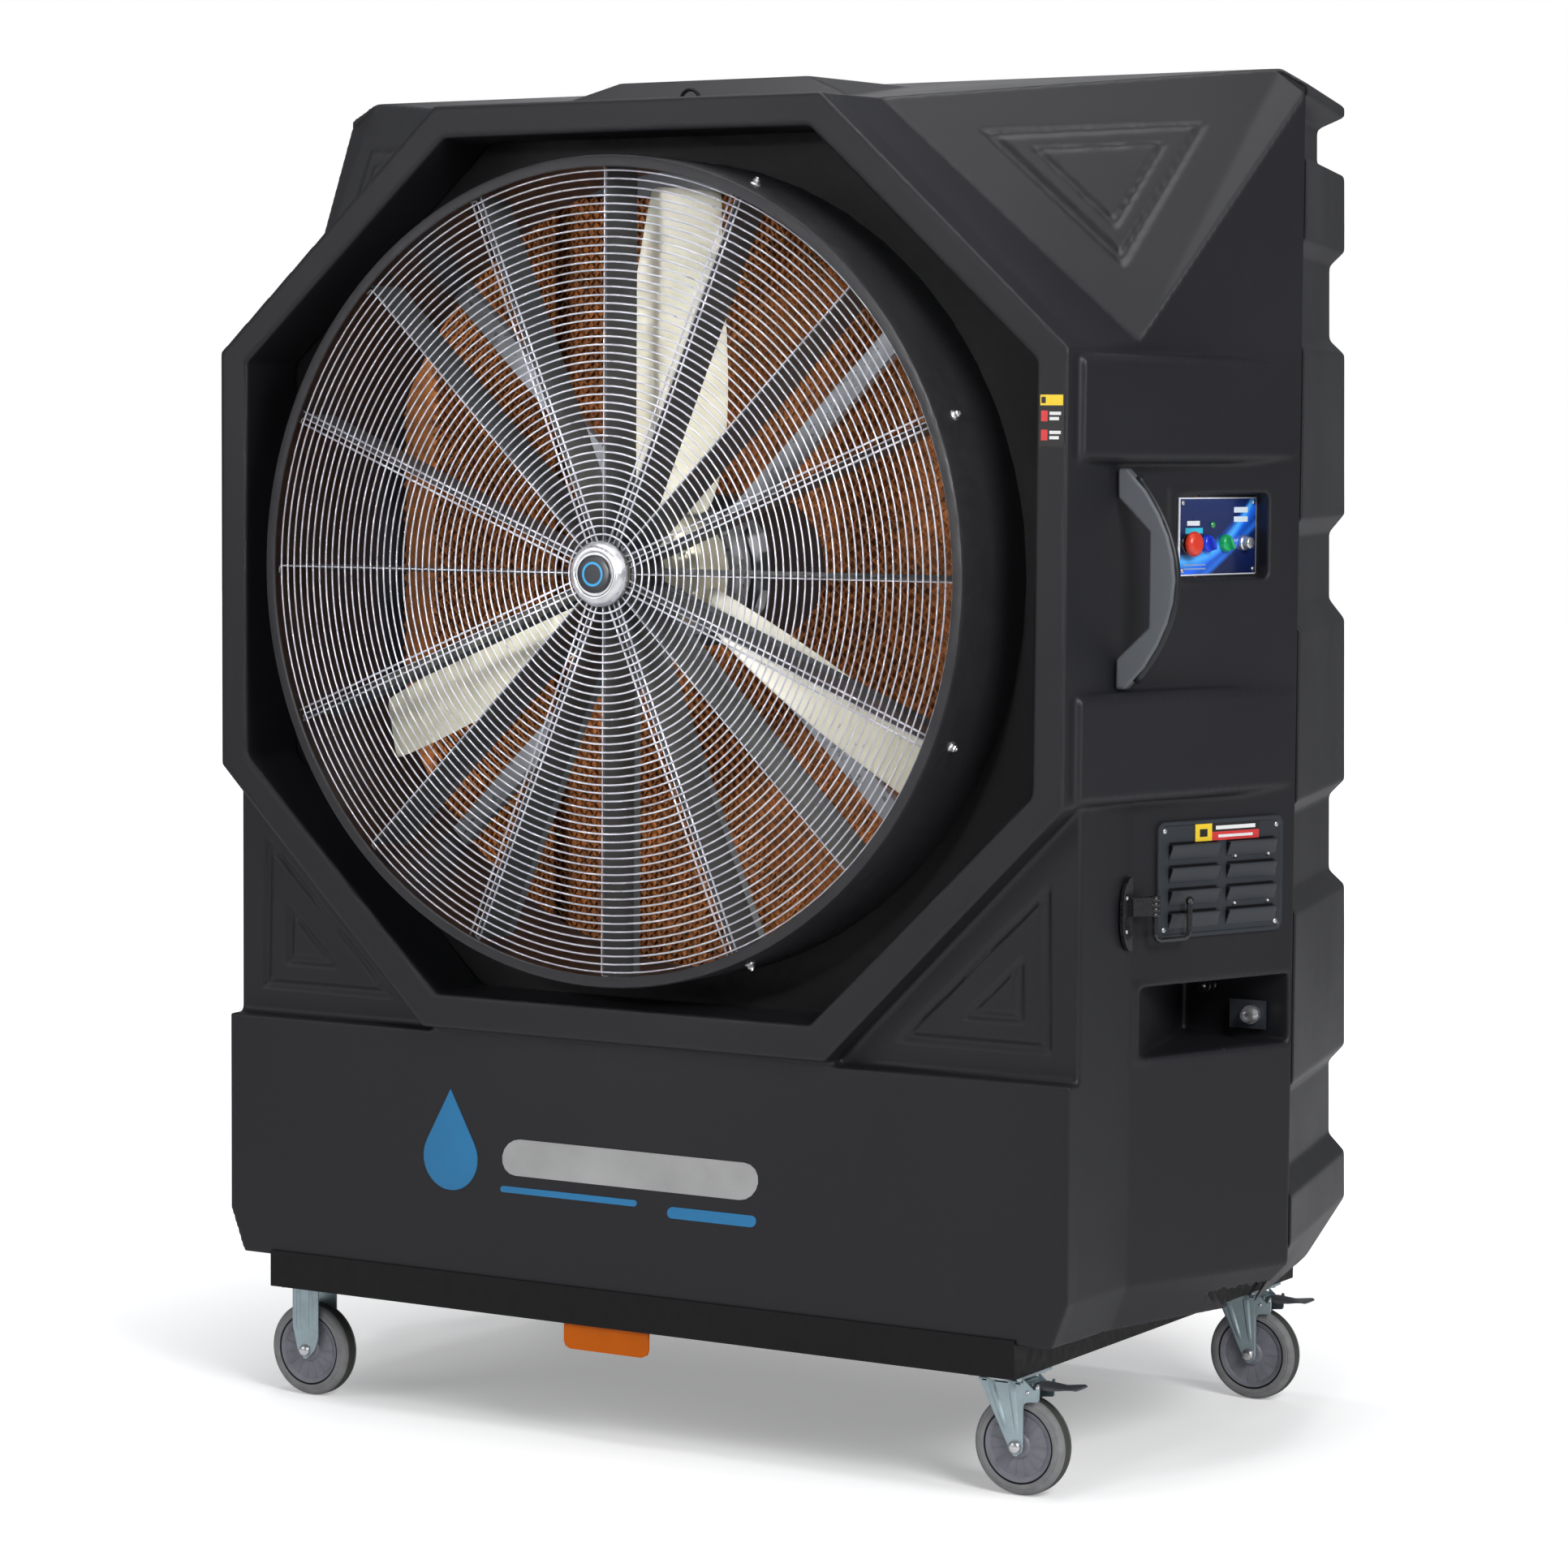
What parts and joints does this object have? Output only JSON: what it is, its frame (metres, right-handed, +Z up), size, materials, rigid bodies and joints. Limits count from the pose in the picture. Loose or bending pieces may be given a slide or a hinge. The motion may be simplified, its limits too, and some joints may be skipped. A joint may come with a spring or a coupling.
{
  "type": "portable evaporative cooler",
  "caption": "Large wheeled evaporative cooler: caged fan in an octagonal collar, moulded body over a water tank, wet pads behind, side controls and casters.",
  "frame": {"origin": "centre of the bounding box in plan, on the floor under the wheels", "axes": "+X is the side with the controls, -Y is the way the fan blows, +Z is up"},
  "size_m": [1.786, 1.074, 2.132],
  "materials": {
    "housing_plastic": "textured",
    "trim_plastic": "satin",
    "handle_grey": "satin",
    "black_steel": "satin",
    "ring_steel": "satin",
    "vane_steel": "satin",
    "zinc_steel": "bright zinc",
    "mount_steel": "satin",
    "motor_grey": "satin",
    "shaft_steel": "brushed",
    "hub_aluminium": "cast",
    "blade_nylon": "satin",
    "badge_plastic": "gloss",
    "cellulose": "matte",
    "orange_paint": "satin",
    "pump_plastic": "satin",
    "grey_hose": "matte",
    "brass": "satin",
    "chrome": "polished",
    "plate_blue": "gloss",
    "red_plastic": "satin",
    "blue_plastic": "gloss",
    "green_plastic": "gloss",
    "knob_chrome": "brushed",
    "green_lamp": "gloss",
    "box_grey": "matte",
    "wheel_grey": "matte",
    "pedal_grey": "satin"
  },
  "bodies": {
    "cooler": {"axle_FL": "zinc_steel", "axle_RL": "zinc_steel", "base_frame": "black_steel", "control_plate": "plate_blue", "drain_plug": "trim_plastic", "electrical_box": "box_grey", "fan_bulkhead": "black_steel", "fan_motor": "motor_grey", "fan_ring": "ring_steel", "float_valve": "brass", "front_tab": "orange_paint", "guard_badge": "badge_plastic", "guard_hub_plate": "zinc_steel", "guard_vanes": "vane_steel", "handle_left": "handle_grey", "handle_right": "handle_grey", "hook_plate": "trim_plastic", "inlet_plate": "trim_plastic", "louver_cover": "trim_plastic", "main_housing": "housing_plastic", "motor_mount": "mount_steel", "pad_left": "cellulose", "pad_rear": "cellulose", "pad_right": "cellulose", "pad_shelf": "trim_plastic", "power_lamp": "green_lamp", "pump": "pump_plastic", "rear_grille": "trim_plastic", "rear_housing": "housing_plastic", "rigid_plate_FL": "zinc_steel", "rigid_plate_RL": "zinc_steel", "roof_eye": "black_steel", "supply_pipe": "grey_hose", "swivel_plate_FR": "zinc_steel", "swivel_plate_RR": "zinc_steel", "water_channel": "trim_plastic", "water_inlet": "chrome", "water_tank": "trim_plastic", "wire_guard": "zinc_steel"},
    "fan_rotor": {"fan_hub": "hub_aluminium", "fan_blade_1": "blade_nylon", "fan_blade_2": "blade_nylon", "fan_blade_3": "blade_nylon", "fan_shaft": "shaft_steel"},
    "left_front_wheel": {"wheel_FL": "wheel_grey"},
    "left_rear_wheel": {"wheel_RL": "wheel_grey"},
    "right_front_fork": {"swivel_fork_FR": "zinc_steel", "axle_FR": "zinc_steel"},
    "right_rear_fork": {"swivel_fork_RR": "zinc_steel", "axle_RR": "zinc_steel"},
    "right_front_wheel": {"wheel_FR": "wheel_grey"},
    "right_rear_wheel": {"wheel_RR": "wheel_grey"},
    "right_front_pedal": {"brake_pedal_FR": "pedal_grey"},
    "right_rear_pedal": {"brake_pedal_RR": "pedal_grey"},
    "stop_button": {"estop_button": "red_plastic"},
    "pump_selector": {"pump_switch": "blue_plastic"},
    "fan_selector": {"fan_switch": "green_plastic"},
    "speed_dial": {"speed_knob": "knob_chrome"},
    "swinging_hook": {"cord_hook": "trim_plastic"},
    "float": {"float_arm": "brass"}
  },
  "joints": [
    {"name": "fan_spin", "type": "hinge", "parent": "cooler", "child": "fan_rotor", "pos_m": [0, -0.323, 1.361], "axis": [0, 1, 0], "continuous": true},
    {"name": "left_front_roll", "type": "hinge", "parent": "cooler", "child": "left_front_wheel", "pos_m": [-0.657, -0.358, 0.076], "axis": [0, 1, 0], "continuous": true},
    {"name": "left_rear_roll", "type": "hinge", "parent": "cooler", "child": "left_rear_wheel", "pos_m": [-0.657, 0.452, 0.076], "axis": [0, 1, 0], "continuous": true},
    {"name": "right_front_swivel", "type": "hinge", "parent": "cooler", "child": "right_front_fork", "pos_m": [0.629, -0.358, 0.17], "axis": [0, 0, 1], "continuous": true},
    {"name": "right_front_roll", "type": "hinge", "parent": "right_front_fork", "child": "right_front_wheel", "pos_m": [0.657, -0.358, 0.076], "axis": [0, 1, 0], "continuous": true},
    {"name": "right_front_brake", "type": "hinge", "parent": "right_front_fork", "child": "right_front_pedal", "pos_m": [0.686, -0.358, 0.1691], "axis": [0, 1, 0], "range_deg": [0, 12]},
    {"name": "right_rear_swivel", "type": "hinge", "parent": "cooler", "child": "right_rear_fork", "pos_m": [0.629, 0.452, 0.17], "axis": [0, 0, 1], "continuous": true},
    {"name": "right_rear_roll", "type": "hinge", "parent": "right_rear_fork", "child": "right_rear_wheel", "pos_m": [0.657, 0.452, 0.076], "axis": [0, 1, 0], "continuous": true},
    {"name": "right_rear_brake", "type": "hinge", "parent": "right_rear_fork", "child": "right_rear_pedal", "pos_m": [0.686, 0.452, 0.1691], "axis": [0, 1, 0], "range_deg": [0, 12]},
    {"name": "stop_press", "type": "slide", "parent": "cooler", "child": "stop_button", "axis": [-0.9874, 0.1584, 0], "range_m": [0, 0.003], "stiffness_N_per_m": 800},
    {"name": "pump_turn", "type": "hinge", "parent": "cooler", "child": "pump_selector", "pos_m": [0.81795, -0.11212, 1.415], "axis": [0.9874, -0.1584, 0], "range_deg": [0, 60]},
    {"name": "fan_turn", "type": "hinge", "parent": "cooler", "child": "fan_selector", "pos_m": [0.8256, -0.06445, 1.415], "axis": [0.9874, -0.1584, 0], "range_deg": [0, 60]},
    {"name": "speed_turn", "type": "hinge", "parent": "cooler", "child": "speed_dial", "pos_m": [0.83345, -0.01552, 1.415], "axis": [0.9874, -0.1584, 0], "range_deg": [-270, 0]},
    {"name": "hook_swing", "type": "hinge", "parent": "cooler", "child": "swinging_hook", "pos_m": [0.806, -0.243, 0.86], "axis": [0, 0, 1], "range_deg": [-90, 0]},
    {"name": "float_lift", "type": "hinge", "parent": "cooler", "child": "float", "pos_m": [-0.56, -0.063, 0.47], "axis": [0, 1, 0], "range_deg": [-15, 20]}
  ]
}
